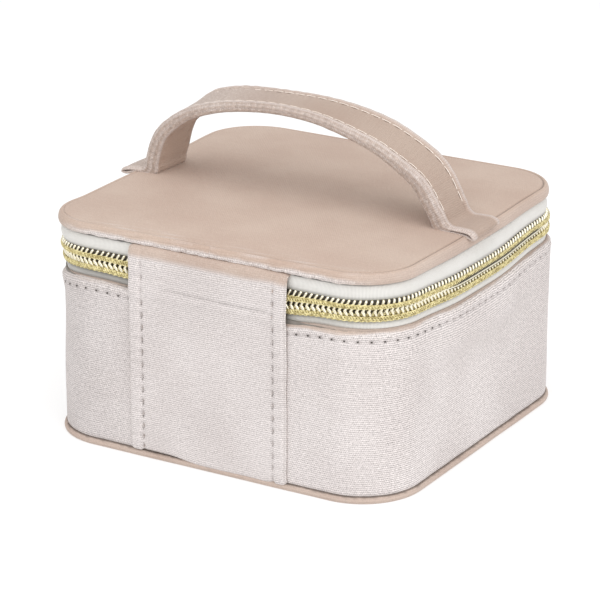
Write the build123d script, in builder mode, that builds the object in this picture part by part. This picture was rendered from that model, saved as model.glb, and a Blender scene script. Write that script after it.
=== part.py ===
from build123d import *
import os

# Travel jewelry case: a stiffened velvet box with a zip round three sides, a fabric hinge
# at the back (+Y), a strap handle across the lid and a fitted interior. The front is -Y.
# The origin is the centre of the underside, +Z is up, and all sizes are millimetres.

# ---------------------------------------------------------------- driving dimensions
case_width = 120.0
case_depth = 116.0
corner_radius = 19.0

# Layers of the wall, each given as its inset from the outer outline.
cover_inset = 0.9
board_inset = 2.8
tape_inset = 3.4
lining_inset = 4.2

# Heights of the base.
trim_top = 2.0
sole_thickness = 0.8
floor_board_top = 3.0
floor_top = 4.2
wall_board_top = 52.2
lining_top = 52.6
wall_top = 53.0
tape_foot = 45.0

# Heights of the zip: two coils with the slot for the slider's post between them.
lower_coil_bottom = 55.2
slot_bottom = 57.4
slot_top = 59.4
upper_coil_top = 61.6
coil_inset = 0.8

# Heights and insets of the lid.
lid_bottom = 66.0
lid_top = 69.4
lid_inset = 1.0
rim_width = 2.2
rim_top = 69.2
lid_board_bottom = 66.2
lid_board_top = 67.8
lid_foam_top = 68.6
lid_lining_bottom = 65.4
lid_lining_inset = 3.6

# Fabric hinge at the back.
hinge_width = 54.0
hinge_fold = 4.4
panel_thickness = 0.9
fold_thickness = 1.3
panel_top = 62.6
flap_bottom = 63.0
flap_reach = 54.6
zip_end = 0.4

# Mirror in the lid.
mirror_width = 78.0
mirror_depth = 66.0
mirror_bottom = 63.8
mirror_radius = 6.0
frame_width = 5.0
frame_bottom = 63.4

# Fitted interior.
divider_top = 37.0
divider_thickness = 2.4
long_divider_y = 10.0
front_divider_x = 14.0
back_divider_x = -18.0
interior_gap = 0.2
roll_count = 5
roll_depth = 12.1
roll_pitch = 12.3
roll_height = 29.0
first_roll_y = -47.4

# Strap handle: the route of its outer surface over the lid, in X and Z, from the +X foot.
strap_width = 16.4
strap_layer = 1.7
strap_tip = 59.0
foot_top = lid_top + 2 * strap_layer
foot_split = 52.4
strap_route = [
    (strap_tip, foot_top),
    (52.6, foot_top),
    (51.5, 87.0),
    (40.0, 93.8),
    (12.0, 99.2),
    (-18.0, 96.4),
    (-37.5, 88.4),
    (-47.5, 78.5),
    (-50.6, foot_top),
    (-strap_tip, foot_top),
]
strap_radii = [1.6, 7.0, 22.0, 60.0, 60.0, 30.0, 10.0, 1.6]

# Zip slider and its puller.
slider_length = 11.6
slider_centre_x = 6.3
slider_front_width = 9.2
slider_rear_width = 7.4
slider_plate = 1.2
slider_inner_plate = 1.0
slider_gap = 0.3
post_width = 1.5
post_length = 3.4
flange_top = 55.0
bail_reach = 1.9
bail_radius = 0.6
bail_half_length = 3.6
eye_inner = 0.9
eye_outer = 1.7
eye_width = 2.0
puller_length = 22.0
puller_width = 6.4
puller_thickness = 1.2
puller_neck = 2.2

# ---------------------------------------------------------------- derived places
front_y = -case_depth / 2
back_y = case_depth / 2
slot_middle = (slot_bottom + slot_top) / 2
plate_y = front_y + coil_inset - slider_gap
inner_plate_y = front_y + tape_inset + slider_gap
bail_y = plate_y - slider_plate - bail_reach
room_width = case_width - 2 * lining_inset
room_depth = case_depth - 2 * lining_inset
room_radius = corner_radius - lining_inset

os.makedirs("parts", exist_ok=True)


def plate(inset, bottom, top):
    """A flat layer whose outline is the case's outline drawn in by inset."""
    with BuildSketch(Plane.XY.offset(bottom)) as outline:
        RectangleRounded(case_width - 2 * inset, case_depth - 2 * inset, corner_radius - inset)
    extrude(outline.sketch, amount=top - bottom)


def band(outer, inner, bottom, top, opening=0.0):
    """A wall that follows the outline between two insets, open over a width at the back."""
    with BuildSketch(Plane.XY.offset(bottom)) as ring:
        RectangleRounded(case_width - 2 * outer, case_depth - 2 * outer, corner_radius - outer)
        RectangleRounded(
            case_width - 2 * inner,
            case_depth - 2 * inner,
            corner_radius - inner,
            mode=Mode.SUBTRACT,
        )
        if opening:
            with Locations((0, back_y)):
                Rectangle(opening, case_depth / 2, mode=Mode.SUBTRACT)
    extrude(ring.sketch, amount=top - bottom)


def strap_ribbon(depth):
    """The strap's side view from its outer surface down to a depth, as a closed face."""
    with BuildSketch(Plane.XZ) as ribbon:
        with BuildLine():
            FilletPolyline(*strap_route, radius=strap_radii)
            offset(amount=depth, side=Side.LEFT)
        make_face()
    return ribbon.sketch


def save(part, name):
    """Label a finished piece and write it to its own file."""
    part.label = name
    export_step(part, f"parts/{name}.step")


# ---------------------------------------------------------------- base: shell
with BuildPart() as bottom_cover:
    plate(board_inset, 0.0, sole_thickness)
save(bottom_cover.part, "bottom_cover")

with BuildPart() as bottom_trim:
    band(0.0, board_inset, 0.0, trim_top)
    fillet(bottom_trim.faces().sort_by(Axis.Z)[0].outer_wire().edges(), radius=0.8)
save(bottom_trim.part, "bottom_trim")

with BuildPart() as bottom_board:
    plate(board_inset, sole_thickness, floor_board_top)
save(bottom_board.part, "bottom_board")

with BuildPart() as wall_cover:
    band(0.0, cover_inset, trim_top, wall_top)
    fillet(wall_cover.faces().sort_by(Axis.Z)[-1].outer_wire().edges(), radius=0.6)
save(wall_cover.part, "wall_cover")

with BuildPart() as wall_board:
    band(cover_inset, board_inset, trim_top, wall_board_top)
save(wall_board.part, "wall_board")

with BuildPart() as wall_padding:
    band(board_inset, tape_inset, floor_board_top, tape_foot)
save(wall_padding.part, "wall_padding")

with BuildPart() as wall_lining:
    band(tape_inset, lining_inset, floor_board_top, lining_top)
save(wall_lining.part, "wall_lining")

with BuildPart() as floor_pad:
    plate(lining_inset, floor_board_top, floor_top)
save(floor_pad.part, "floor_pad")

# ---------------------------------------------------------------- base: hinge and zip
with BuildPart() as hinge_panel:
    with BuildSketch(Plane.XZ.offset(-back_y)):
        with Locations((0, (trim_top + panel_top) / 2)):
            Rectangle(hinge_width, panel_top - trim_top)
    extrude(amount=-panel_thickness)
    with BuildSketch(Plane.XZ.offset(-back_y)):
        with Locations((0, (trim_top + panel_top) / 2)):
            with GridLocations(hinge_width - hinge_fold, 0, 2, 1):
                Rectangle(hinge_fold, panel_top - trim_top)
    extrude(amount=-fold_thickness)
save(hinge_panel.part, "hinge_panel")

with BuildPart() as hinge_lining:
    with BuildSketch(Plane.XY.offset(lining_top)):
        with Locations((0, back_y - (board_inset + lining_inset) / 2)):
            Rectangle(hinge_width, lining_inset - board_inset)
    extrude(amount=panel_top - lining_top)
save(hinge_lining.part, "hinge_lining")

with BuildPart() as lower_tape:
    band(board_inset, tape_inset, tape_foot, slot_bottom)
    with BuildSketch(Plane.XY.offset(wall_board_top)):
        with Locations((0, back_y)):
            Rectangle(hinge_width + 2 * zip_end, case_depth / 2)
    extrude(amount=slot_bottom - wall_board_top, mode=Mode.SUBTRACT)
save(lower_tape.part, "lower_tape")

with BuildPart() as lower_coil:
    band(coil_inset, board_inset, lower_coil_bottom, slot_bottom, hinge_width + 2 * zip_end)
save(lower_coil.part, "lower_coil")

# ---------------------------------------------------------------- base: interior
with BuildPart() as divider_long:
    with BuildSketch(Plane.XY.offset(floor_top)):
        with Locations((0, long_divider_y)):
            Rectangle(room_width - 2 * interior_gap, divider_thickness)
    extrude(amount=divider_top - floor_top)
    fillet(divider_long.edges().filter_by(Axis.X).group_by(Axis.Z)[-1], radius=1.0)
save(divider_long.part, "divider_long")

front_divider_end = long_divider_y - divider_thickness / 2 - interior_gap
front_divider_start = -room_depth / 2 + interior_gap
with BuildPart() as divider_front:
    with BuildSketch(Plane.XY.offset(floor_top)):
        with Locations((front_divider_x, (front_divider_start + front_divider_end) / 2)):
            Rectangle(divider_thickness, front_divider_end - front_divider_start)
    extrude(amount=divider_top - floor_top)
    fillet(divider_front.edges().filter_by(Axis.Y).group_by(Axis.Z)[-1], radius=1.0)
save(divider_front.part, "divider_front")

back_divider_start = long_divider_y + divider_thickness / 2 + interior_gap
back_divider_end = room_depth / 2 - interior_gap
with BuildPart() as divider_back:
    with BuildSketch(Plane.XY.offset(floor_top)):
        with Locations((back_divider_x, (back_divider_start + back_divider_end) / 2)):
            Rectangle(divider_thickness, back_divider_end - back_divider_start)
    extrude(amount=divider_top - floor_top)
    fillet(divider_back.edges().filter_by(Axis.Y).group_by(Axis.Z)[-1], radius=1.0)
save(divider_back.part, "divider_back")

roll_end = front_divider_x - divider_thickness / 2 - interior_gap
roll_start = -room_width / 2
for index in range(roll_count):
    roll_y = first_roll_y + index * roll_pitch
    with BuildPart() as ring_roll:
        with BuildSketch(Plane.YZ.offset(roll_start)):
            with Locations((roll_y, floor_top + roll_height / 2)):
                RectangleRounded(roll_depth, roll_height, roll_depth / 2 - interior_gap)
        extrude(amount=roll_end - roll_start)
        with BuildSketch(Plane.XY.offset(floor_top)):
            RectangleRounded(
                room_width - 2 * interior_gap,
                room_depth - 2 * interior_gap,
                room_radius - interior_gap,
            )
        extrude(amount=roll_height, mode=Mode.INTERSECT)
    save(ring_roll.part, f"ring_roll_{index + 1}")

# ---------------------------------------------------------------- lid: panel
with BuildPart() as lid_rim:
    band(lid_inset, lid_inset + rim_width, lid_bottom, rim_top)
    fillet(lid_rim.faces().sort_by(Axis.Z)[-1].outer_wire().edges(), radius=1.4)
    fillet(lid_rim.faces().sort_by(Axis.Z)[0].outer_wire().edges(), radius=0.9)
save(lid_rim.part, "lid_rim")

with BuildPart() as lid_board:
    plate(lid_inset + rim_width, lid_board_bottom, lid_board_top)
save(lid_board.part, "lid_board")

with BuildPart() as lid_foam:
    plate(lid_inset + rim_width, lid_board_top, lid_foam_top)
save(lid_foam.part, "lid_foam")

with BuildPart() as lid_cover:
    plate(lid_inset + rim_width, lid_foam_top, lid_top)
    fillet(lid_cover.faces().sort_by(Axis.Z)[-1].outer_wire().edges(), radius=0.6)
save(lid_cover.part, "lid_cover")

with BuildPart() as lid_lining:
    plate(lid_lining_inset, lid_lining_bottom, lid_board_bottom)
save(lid_lining.part, "lid_lining")

with BuildPart() as lid_mirror:
    with BuildSketch(Plane.XY.offset(mirror_bottom)):
        RectangleRounded(mirror_width, mirror_depth, mirror_radius)
    extrude(amount=lid_lining_bottom - mirror_bottom)
save(lid_mirror.part, "lid_mirror")

with BuildPart() as mirror_frame:
    with BuildSketch(Plane.XY.offset(frame_bottom)):
        RectangleRounded(
            mirror_width + 2 * frame_width,
            mirror_depth + 2 * frame_width,
            mirror_radius + frame_width,
        )
        RectangleRounded(mirror_width, mirror_depth, mirror_radius, mode=Mode.SUBTRACT)
    extrude(amount=lid_lining_bottom - frame_bottom)
    fillet(mirror_frame.faces().sort_by(Axis.Z)[0].outer_wire().edges(), radius=0.8)
save(mirror_frame.part, "mirror_frame")

# ---------------------------------------------------------------- lid: zip and hinge flap
with BuildPart() as upper_tape:
    band(board_inset, tape_inset, slot_top, lid_bottom, hinge_width + 2 * zip_end)
save(upper_tape.part, "upper_tape")

with BuildPart() as upper_coil:
    band(coil_inset, board_inset, slot_top, upper_coil_top, hinge_width + 2 * zip_end)
save(upper_coil.part, "upper_coil")

with BuildPart() as hinge_flap:
    with BuildSketch(Plane.YZ.offset(-hinge_width / 2)):
        with BuildLine():
            Polyline(
                (back_y + 0.2, flap_bottom),
                (back_y - 0.5, lid_bottom),
                (flap_reach, lid_bottom),
                (flap_reach, lid_bottom - panel_thickness),
                (back_y - 1.3, lid_bottom - panel_thickness),
                (back_y - 0.7, flap_bottom),
                close=True,
            )
        make_face()
    extrude(amount=hinge_width)
save(hinge_flap.part, "hinge_flap")

# ---------------------------------------------------------------- lid: strap handle
with BuildPart() as strap_outer:
    extrude(strap_ribbon(strap_layer), amount=strap_width / 2, both=True)
save(strap_outer.part, "strap_outer")

full_strap = strap_ribbon(2 * strap_layer)
outer_layer = strap_ribbon(strap_layer)
with BuildPart() as strap_inner:
    with BuildSketch(Plane.XZ) as inner_layer:
        add(full_strap)
        add(outer_layer, mode=Mode.SUBTRACT)
        with Locations((0, foot_top)):
            Rectangle(2 * foot_split, case_width, mode=Mode.INTERSECT)
    extrude(amount=strap_width / 2, both=True)
save(strap_inner.part, "strap_inner")

tip_middle = (strap_tip + foot_split + interior_gap) / 2
for side, name in ((1, "strap_end_left"), (-1, "strap_end_right")):
    with BuildPart() as strap_end:
        with BuildSketch(Plane.XZ):
            with Locations((side * tip_middle, lid_top + strap_layer / 2)):
                Rectangle(strap_tip - foot_split - interior_gap, strap_layer)
        extrude(amount=strap_width / 2, both=True)
    save(strap_end.part, name)

# ---------------------------------------------------------------- zip sliders and pullers
half_length = slider_length / 2
for side, name in ((-1, "left"), (1, "right")):
    centre_x = side * slider_centre_x
    inner_end = centre_x - side * half_length
    outer_end = centre_x + side * half_length
    with BuildPart() as slider:
        with BuildSketch(Plane.XZ.offset(-plate_y)) as face:
            with BuildLine():
                Polyline(
                    (inner_end, slot_middle - slider_front_width / 2),
                    (outer_end, slot_middle - slider_rear_width / 2),
                    (outer_end, slot_middle + slider_rear_width / 2),
                    (inner_end, slot_middle + slider_front_width / 2),
                    close=True,
                )
            make_face()
            fillet(face.vertices(), radius=1.6)
        extrude(amount=slider_plate)
        fillet(slider.faces().sort_by(Axis.Y)[0].outer_wire().edges(), radius=0.4)
        with BuildSketch(Plane.XZ.offset(-inner_plate_y)):
            add(face.sketch.moved(Location((0, inner_plate_y - plate_y, 0))))
        extrude(amount=-slider_inner_plate)
        with BuildSketch(Plane.XZ.offset(-plate_y)):
            with Locations((centre_x, slot_middle)):
                SlotOverall(post_length, post_width)
        extrude(amount=plate_y - inner_plate_y)
        with BuildSketch(Plane.XZ.offset(-plate_y)):
            flange_bottom = slot_middle - slider_rear_width / 2
            with Locations((centre_x, (flange_bottom + flange_top) / 2)):
                Rectangle(slider_length - 2, flange_top - flange_bottom)
        extrude(amount=coil_inset - board_inset)
        with BuildSketch(Plane.YZ.offset(centre_x - bail_half_length)):
            with Locations((bail_y, slot_middle)):
                Circle(bail_radius)
        extrude(amount=2 * bail_half_length)
        with BuildSketch(Plane.XZ.offset(-bail_y)):
            with Locations((centre_x, slot_middle)):
                with GridLocations(2 * bail_half_length - 2 * bail_radius, 0, 2, 1):
                    Circle(bail_radius)
        extrude(amount=-bail_reach - slider_plate / 2)
    save(slider.part, f"slider_{name}")

    with BuildPart() as puller:
        with BuildSketch(Plane.YZ.offset(centre_x - eye_width / 2)):
            with Locations((bail_y, slot_middle)):
                Circle(eye_outer)
        extrude(amount=eye_width)
        with BuildSketch(Plane.XZ.offset(-bail_y)) as tab:
            with BuildLine():
                Polyline(
                    (centre_x - eye_width / 2, slot_middle),
                    (centre_x + eye_width / 2, slot_middle),
                    (centre_x + eye_width / 2, slot_middle - eye_outer - puller_neck),
                    (centre_x + puller_width / 2, slot_middle - eye_outer - 3 * puller_neck),
                    (centre_x + puller_width / 2, slot_middle - puller_length),
                    (centre_x - puller_width / 2, slot_middle - puller_length),
                    (centre_x - puller_width / 2, slot_middle - eye_outer - 3 * puller_neck),
                    (centre_x - eye_width / 2, slot_middle - eye_outer - puller_neck),
                    close=True,
                )
            make_face()
            fillet(tab.vertices().group_by(Axis.Y)[0], radius=puller_width / 2 - interior_gap)
        extrude(amount=puller_thickness / 2, both=True)
        with BuildSketch(Plane.YZ.offset(centre_x - puller_width)):
            with Locations((bail_y, slot_middle)):
                Circle(eye_inner)
        extrude(amount=2 * puller_width, mode=Mode.SUBTRACT)
    save(puller.part, f"puller_{name}")
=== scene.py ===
import math

import bmesh
import bpy
import numpy as np
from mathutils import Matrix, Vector


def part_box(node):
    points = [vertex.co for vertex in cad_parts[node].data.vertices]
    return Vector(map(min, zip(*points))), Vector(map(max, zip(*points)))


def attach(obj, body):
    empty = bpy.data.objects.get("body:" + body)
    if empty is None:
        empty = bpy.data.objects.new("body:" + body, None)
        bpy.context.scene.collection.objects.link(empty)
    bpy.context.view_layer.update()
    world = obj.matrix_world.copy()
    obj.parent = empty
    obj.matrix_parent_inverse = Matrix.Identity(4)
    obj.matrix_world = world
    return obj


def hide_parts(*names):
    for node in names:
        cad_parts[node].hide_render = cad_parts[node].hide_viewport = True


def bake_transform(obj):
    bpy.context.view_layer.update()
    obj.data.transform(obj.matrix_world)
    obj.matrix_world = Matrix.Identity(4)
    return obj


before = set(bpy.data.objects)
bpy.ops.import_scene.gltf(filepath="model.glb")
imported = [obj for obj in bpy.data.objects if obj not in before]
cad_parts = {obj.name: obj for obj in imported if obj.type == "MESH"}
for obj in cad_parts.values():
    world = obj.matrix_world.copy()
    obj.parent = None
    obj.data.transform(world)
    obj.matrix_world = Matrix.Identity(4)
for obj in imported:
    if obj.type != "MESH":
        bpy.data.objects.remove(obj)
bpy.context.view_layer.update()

# Lengths are in millimetres while a shape is worked out, and in metres once it is a mesh.
MM = 0.001
TURN = 2 * math.pi


def node_box(name):
    """Lowest and highest corner of a CAD node at rest, in millimetres."""
    low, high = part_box(name)
    return Vector(low) / MM, Vector(high) / MM


# ---------------------------------------------------------------- places read from the frame
WALL_LOW, WALL_HIGH = node_box("wall_cover")
RIM_LOW = node_box("lid_rim")[0]
LID_TOP = node_box("lid_cover")[1].z
TRIM_HIGH = node_box("bottom_trim")[1]
PANEL_LOW, PANEL_HIGH = node_box("hinge_panel")
LOWER_COIL_LOW, LOWER_COIL_HIGH = node_box("lower_coil")
UPPER_COIL_LOW, UPPER_COIL_HIGH = node_box("upper_coil")
STRAP_HIGH = node_box("strap_outer")[1]

HALF_X = WALL_HIGH.x
HALF_Y = WALL_HIGH.y
CORNER = 19.0
LENGTH_X = 2 * (HALF_X - CORNER)
LENGTH_Y = 2 * (HALF_Y - CORNER)
ARC = CORNER * math.pi / 2
GIRTH = 2 * (LENGTH_X + LENGTH_Y) + 4 * ARC
PANEL_HALF = PANEL_HIGH.x
STITCH_PITCH = 3.9
ROOM_HALF = node_box("divider_long")[1]
ROOM_HALF.y = node_box("divider_back")[1].y
LID_LINING = node_box("lid_lining")[0]


# ---------------------------------------------------------------- shape helpers
def outline(runs):
    """Points and outward normals of the case's outline, at runs from the middle of the back.

    The run goes from the back towards +X, then round the front and back along the -X side.
    """
    points = []
    normals = []
    inner_x = HALF_X - CORNER
    inner_y = HALF_Y - CORNER
    stretches = [
        (LENGTH_X / 2, (0, HALF_Y), (1, 0), None),
        (ARC, (inner_x, inner_y), None, 90),
        (LENGTH_Y, (HALF_X, inner_y), (0, -1), None),
        (ARC, (inner_x, -inner_y), None, 0),
        (LENGTH_X, (inner_x, -HALF_Y), (-1, 0), None),
        (ARC, (-inner_x, -inner_y), None, -90),
        (LENGTH_Y, (-HALF_X, -inner_y), (0, 1), None),
        (ARC, (-inner_x, inner_y), None, 180),
        (LENGTH_X / 2, (-inner_x, HALF_Y), (1, 0), None),
    ]
    for run in np.mod(runs, GIRTH):
        left = float(run)
        for length, start, way, first_angle in stretches:
            if left <= length:
                break
            left -= length
        if way:
            points.append((start[0] + way[0] * left, start[1] + way[1] * left))
            normals.append((-way[1], way[0]))
        else:
            angle = math.radians(first_angle) - left / CORNER
            normals.append((math.cos(angle), math.sin(angle)))
            points.append((start[0] + CORNER * normals[-1][0], start[1] + CORNER * normals[-1][1]))
    return np.array(points), np.array(normals)


def smooth(values, low, high):
    """0 below low, 1 above high, and a smooth step between."""
    t = np.clip((values - low) / (high - low), 0, 1)
    return t * t * (3 - 2 * t)


def wander(a, b, size, seed):
    """Gentle unevenness between about -1 and 1, with bumps of about the given size."""
    total = 0
    for k in range(5):
        angle = seed * 1.7 + k * 2.399
        pitch = size * (1.0 + 0.37 * k)
        total = total + np.sin(
            TURN * (a * math.cos(angle) + b * math.sin(angle)) / pitch + seed * 3.1 + k * 1.9
        ) / (1 + 0.5 * k)
    return total / 2.2


def curve_through(points, step):
    """A smooth line through given points, sampled about every step."""
    knots = np.array(points, float)
    knots = np.vstack([2 * knots[0] - knots[1], knots, 2 * knots[-1] - knots[-2]])
    line = []
    for k in range(1, len(knots) - 2):
        t = np.linspace(0, 1, 24, endpoint=False)[:, None]
        before, start, end, after = knots[k - 1 : k + 3]
        square = (2 * before - 5 * start + 4 * end - after) * t**2
        cube = (3 * start - before - 3 * end + after) * t**3
        line.append(0.5 * (2 * start + (end - before) * t + square + cube))
    line = np.vstack(line + [knots[-2][None]])
    lengths = line_lengths(line)
    count = max(2, int(round(lengths[-1] / step)) + 1)
    wanted = np.linspace(0, lengths[-1], count)
    return np.stack([np.interp(wanted, lengths, line[:, k]) for k in range(knots.shape[1])], 1)


def line_lengths(line):
    """How far along the line each of its points is."""
    return np.concatenate([[0], np.cumsum(np.linalg.norm(np.diff(line, axis=0), axis=1))])


def cloth_place(along, across, shade=0.0):
    """Where each point is in the weave, and how much darker it is, from values that broadcast."""
    return np.stack(np.broadcast_arrays(along, across, shade), -1)


def finish_mesh(name, points, faces, attributes, material):
    """A smooth-shaded object from points in millimetres, with its attributes and material."""
    mesh = bpy.data.meshes.new(name)
    mesh.from_pydata((np.asarray(points, float) * MM).tolist(), [], faces)
    for key, values in attributes.items():
        values = np.asarray(values, np.float32)
        if values.ndim == 1:
            mesh.attributes.new(key, "FLOAT", "POINT").data.foreach_set("value", values)
        else:
            mesh.attributes.new(key, "FLOAT_VECTOR", "POINT").data.foreach_set(
                "vector", values.ravel()
            )
    mesh.materials.append(material)
    mesh.polygons.foreach_set("use_smooth", [True] * len(mesh.polygons))
    mesh.update()
    piece = bpy.data.objects.new(name, mesh)
    bpy.context.scene.collection.objects.link(piece)
    return piece


def sheet(
    name, points, cloth, pale_and_sheen, material, close_rows=False, close_columns=True, caps=False, fuzz=0.0
):
    """A quad mesh over rows and columns of points, with its place in the weave, its paleness (mostly
    painted sheen) and its fuzz.
    """
    rows, columns = points.shape[:2]
    index = np.arange(rows * columns).reshape(rows, columns)
    if close_rows:
        index = np.vstack([index, index[:1]])
    if close_columns:
        index = np.hstack([index, index[:, :1]])
    quads = np.stack([index[:-1, :-1], index[1:, :-1], index[1:, 1:], index[:-1, 1:]], -1)
    faces = quads.reshape(-1, 4).tolist()
    if caps:
        faces.append(list(range(columns)))
        faces.append(list(range((rows - 1) * columns, rows * columns))[::-1])
    weave = np.zeros((rows, columns, 3))
    weave[:, :, : cloth.shape[2]] = cloth
    return finish_mesh(
        name,
        points.reshape(-1, 3),
        faces,
        {
            "cloth": weave.reshape(-1, 3),
            "pale_and_sheen": np.broadcast_to(pale_and_sheen, (rows, columns)).ravel(),
            "fuzz": np.broadcast_to(fuzz, (rows, columns)).ravel(),
        },
        material,
    )


# How far the sides sag at each height: on the +X side and on the -X side.
SAG_HEIGHTS = (0, 28, 35, 42, 44, 46, 49.6, 53, 58.4, 62, 66, 69.4)
SAG_PLUS_X = (0, 0, 0.5, 2.3, 2.9, 3.5, 3.9, 2.9, 1.2, 1.2, 0.4, 0)
SAG_MINUS_X = (0, 0, 0.9, 3.3, 3.2, 2.9, 1.9, 1.5, 1.2, 1.3, 0.5, 0)
# How far the zip dips beside the hinge panel, at each height.
DIP_HEIGHTS = (43, 47, 50, 58.5, 61.5)
DIP = (0, 0.5, 1.25, 1.25, 0)


def settle(points):
    """The case's soft unevenness: sides bowed and sagging at the zip, and a lid that stands out."""
    x, y, z = (points[..., k] for k in range(3))
    moved = points.copy()
    bow = smooth(np.abs(x), 45, 57) / (1 + ((y - 4) / 27) ** 4)
    push = 1.8 * smooth(z, 25, 50) * (1 - 0.55 * smooth(z, 60, 68))
    moved[..., 0] += np.where(x > 0, 0.6 * smooth(z, 45, 50), -1.0) * bow * push
    moved[..., 0] -= 0.6 * smooth(x, 40, 57) * smooth(z, 15, 40) * (1 - smooth(z, 46, 50))
    sag = np.where(x > 0, smooth(x, 42, 57) / (1 + ((y - 4) / 43) ** 4), bow)
    plus = np.interp(z, SAG_HEIGHTS, SAG_PLUS_X)
    minus = np.interp(z, SAG_HEIGHTS, SAG_MINUS_X)
    moved[..., 2] -= sag * np.where(x > 0, plus, minus)
    dip = np.exp(-(((x + 25) / 9) ** 2)) + 0.5 * np.exp(-(((x - 25) / 9) ** 2))
    moved[..., 2] -= dip * smooth(y, 46, 54) * np.interp(z, DIP_HEIGHTS, DIP)
    lid = smooth(z, 54, 67)
    spread = 0.1 + 1.1 * smooth(y, 34, 48) + 2.1 * smooth(-y, 0, 40)
    moved[..., 0] += lid * smooth(x, 20, 58) * spread
    corner = lid * np.exp(-((x - 52) ** 2 + (y - 50) ** 2) / 200)
    moved[..., 0] += 0.65 * corner
    moved[..., 1] += 0.65 * corner
    moved[..., 2] += smooth(z, 60, 66) * 0.55 * (HALF_Y - y) / (2 * HALF_Y)
    return moved


def straight_round_the_case(runs, insets, heights):
    """Points at insets from the outline and at heights, for every run: rows by columns."""
    base, normals = outline(runs)
    insets = np.broadcast_to(insets, (len(runs), np.shape(insets)[-1]))
    points = np.empty(insets.shape + (3,))
    points[:, :, :2] = base[:, None, :] - insets[:, :, None] * normals[:, None, :]
    points[:, :, 2] = heights
    return points


def round_the_case(runs, insets, heights):
    """The same points with the case's soft unevenness."""
    return settle(straight_round_the_case(runs, insets, heights))


def path_round_the_case(runs, insets, heights):
    """A line of points, one for each run, at its own inset and height."""
    base, normals = outline(runs)
    flat = base - np.broadcast_to(insets, len(runs))[:, None] * normals
    return settle(np.column_stack([flat, np.broadcast_to(heights, len(runs))]))


def sides_of(runs):
    """How far +X and how far +Y the outline is at each run, as columns."""
    base = outline(runs)[0]
    return base[:, :1], base[:, 1:]


def tube_points(path, radius, sides):
    """Rings of points round a path. The radius may be one number or one for each point."""
    tangents = np.gradient(path, axis=0)
    tangents /= np.linalg.norm(tangents, axis=1)[:, None]
    side = np.cross(tangents[0], (0.3, 0.2, 0.9))
    rings = []
    radii = np.broadcast_to(radius, len(path))
    angles = np.arange(sides) * TURN / sides
    for point, tangent, r in zip(path, tangents, radii):
        side = side - tangent * side.dot(tangent)
        side /= np.linalg.norm(side)
        other = np.cross(tangent, side)
        rings.append(
            point + r * (np.cos(angles)[:, None] * side + np.sin(angles)[:, None] * other)
        )
    return np.array(rings)


def tube(name, paths, radius, sides, material, pale_and_sheen=0.0):
    """One object made of closed tubes along the given paths."""
    points = []
    faces = []
    along = []
    for path in paths:
        rings = tube_points(np.asarray(path, float), radius, sides)
        first = len(points)
        count = len(rings)
        lengths = line_lengths(np.asarray(path, float))
        for ring, length in zip(rings, lengths):
            points.extend(ring)
            along.extend((length, angle, 0.0) for angle in range(sides))
        for row in range(count - 1):
            for column in range(sides):
                right = (column + 1) % sides
                a = first + row * sides
                b = a + sides
                faces.append((a + column, a + right, b + right, b + column))
        faces.append([first + k for k in range(sides)][::-1])
        faces.append([first + (count - 1) * sides + k for k in range(sides)])
    pale_and_sheen_values = np.full(len(points), pale_and_sheen)
    return finish_mesh(name, points, faces, {"cloth": along, "pale_and_sheen": pale_and_sheen_values}, material)


def rounded_loop(half_a, half_b, radius, count):
    """Points and outward directions at even steps round a rounded rectangle."""
    angles = (np.arange(720) + 0.5) * TURN / 720
    normals = np.column_stack([np.cos(angles), np.sin(angles)])
    corners = np.sign(normals) * (np.array([half_a, half_b]) - radius)
    loop = np.hstack([corners + radius * normals, normals])
    loop = np.vstack([loop, loop[:1]])
    lengths = line_lengths(loop[:, :2])
    wanted = np.linspace(0, lengths[-1], count, endpoint=False)
    loop = np.stack([np.interp(wanted, lengths, loop[:, k]) for k in range(4)], 1)
    return loop[:, :2], loop[:, 2:]


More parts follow.
